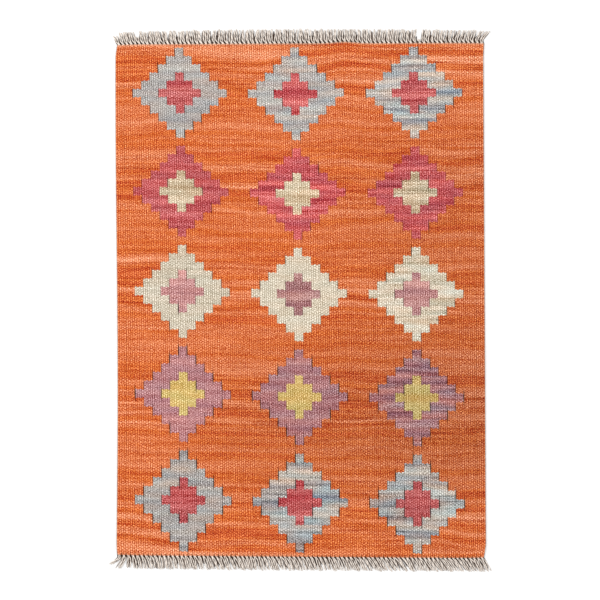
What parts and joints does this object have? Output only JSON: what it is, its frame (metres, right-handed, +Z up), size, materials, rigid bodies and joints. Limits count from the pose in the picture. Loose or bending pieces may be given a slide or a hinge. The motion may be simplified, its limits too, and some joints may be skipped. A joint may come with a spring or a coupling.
{
  "type": "flatwoven kilim rug",
  "caption": "Flat rectangular wool kilim: rows of stepped diamonds in muted colours on a streaky orange ground, with short warp fringes at both ends.",
  "frame": {"origin": "on the floor, in the middle of the whole rug, fringes included", "axes": "+X across the rug, +Y along it towards the end that is uppermost in the picture, +Z up out of the pattern face"},
  "size_m": [0.6172, 0.8874, 0.004],
  "materials": {
    "woven_wool": "matt hand-spun wool in a weft-faced plain weave, orange with streaks, diamonds in grey-blue, raspberry, ivory, mauve and yellow",
    "warp_yarn": "matt undyed grey-beige plied wool, twisted into short tassels"
  },
  "bodies": {
    "root": {"woven_field": "woven_wool", "north_fringe": "warp_yarn", "south_fringe": "warp_yarn"}
  },
  "joints": []
}
